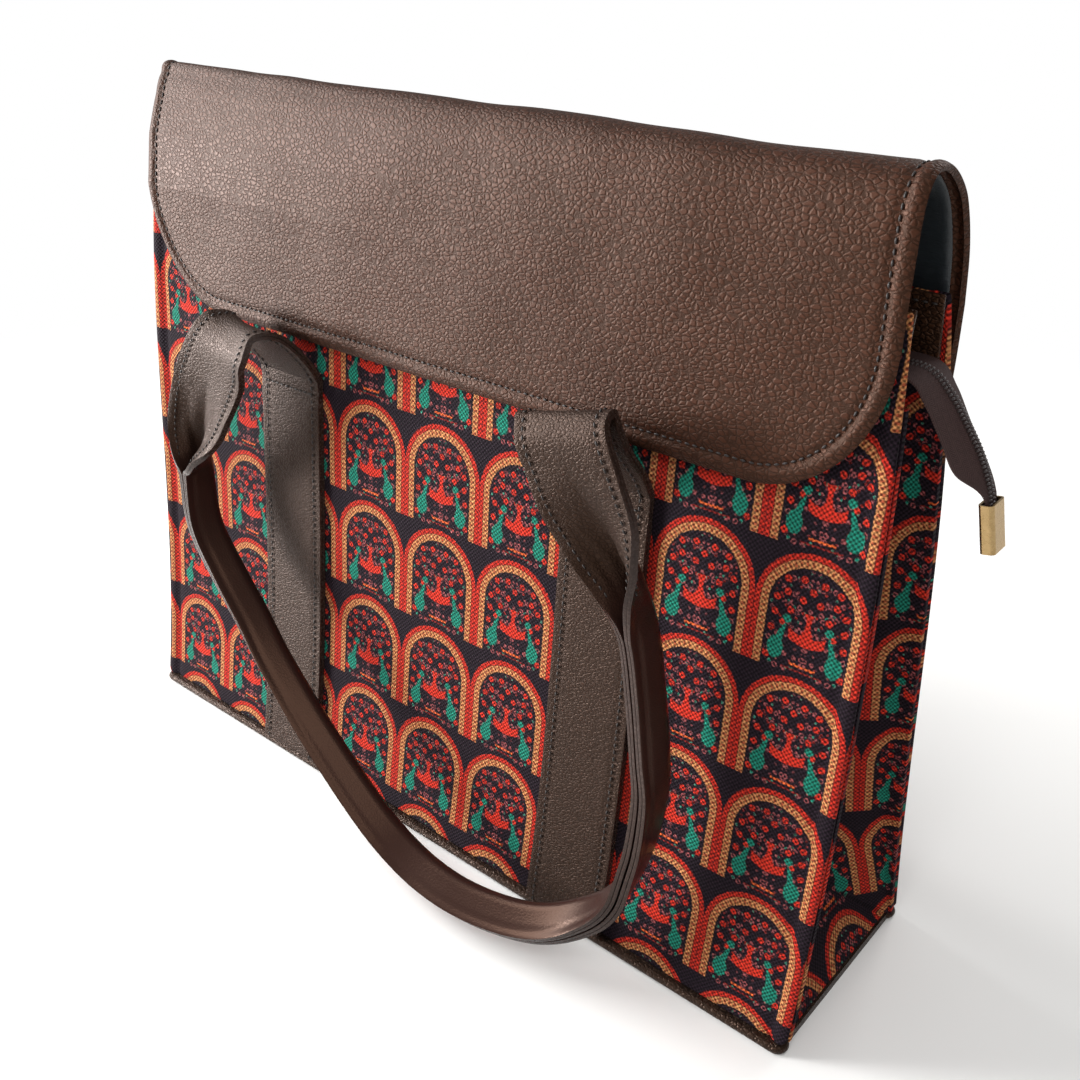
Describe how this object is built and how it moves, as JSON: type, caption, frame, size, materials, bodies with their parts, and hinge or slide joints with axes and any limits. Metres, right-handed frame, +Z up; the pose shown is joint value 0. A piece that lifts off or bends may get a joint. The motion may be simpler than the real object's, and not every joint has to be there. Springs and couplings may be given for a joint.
{
  "type": "tote bag",
  "caption": "Wedge-shaped tote bag of printed cloth with folded sides, a leather flap over a recessed zip, and strap handles folded into soft grips.",
  "frame": {"origin": "centre of the base, on the ground", "axes": "+X to the right seen from the front, -Y to the front, +Z up"},
  "size_m": [0.4424, 0.1784, 0.338],
  "materials": {
    "printed_cloth": "coarse plain weave, printed",
    "base_leather": "pebbled, satin",
    "facing_leather": "smooth, satin",
    "flap_leather": "pebbled, satin",
    "strap_leather": "pebbled, satin",
    "satin": "satin weave",
    "zip_tape": "woven tape",
    "zip_coil": "nylon coil",
    "brass": "plated, polished"
  },
  "bodies": {
    "bag": {"front_panel": "printed_cloth", "back_panel": "printed_cloth", "left_side": "printed_cloth", "right_side": "printed_cloth", "base": "base_leather", "front_facing": "facing_leather", "back_facing": "facing_leather", "flap_back": "flap_leather", "front_handle": "strap_leather", "back_handle": "strap_leather", "front_zip_tape": "zip_tape", "back_zip_tape": "zip_tape", "front_zip_coil": "zip_coil", "back_zip_coil": "zip_coil", "zip_end_clip": "brass"},
    "flap": {"flap": "flap_leather", "flap_lining": "satin"},
    "zip_slider": {"zip_slider": "brass"},
    "zip_pull": {"zip_pull": "brass"}
  },
  "joints": [
    {"name": "flap_hinge", "type": "hinge", "parent": "bag", "child": "flap", "pos_m": [0, 0.0225, 0.29], "axis": [-1, 0, 0], "range_deg": [0, 150]},
    {"name": "zip_slide", "type": "slide", "parent": "bag", "child": "zip_slider", "axis": [-1, 0, 0], "range_m": [0, 0.33]},
    {"name": "pull_hinge", "type": "hinge", "parent": "zip_slider", "child": "zip_pull", "pos_m": [0.165, 0, 0.27755], "axis": [0, 1, 0], "range_deg": [0, 180]}
  ]
}
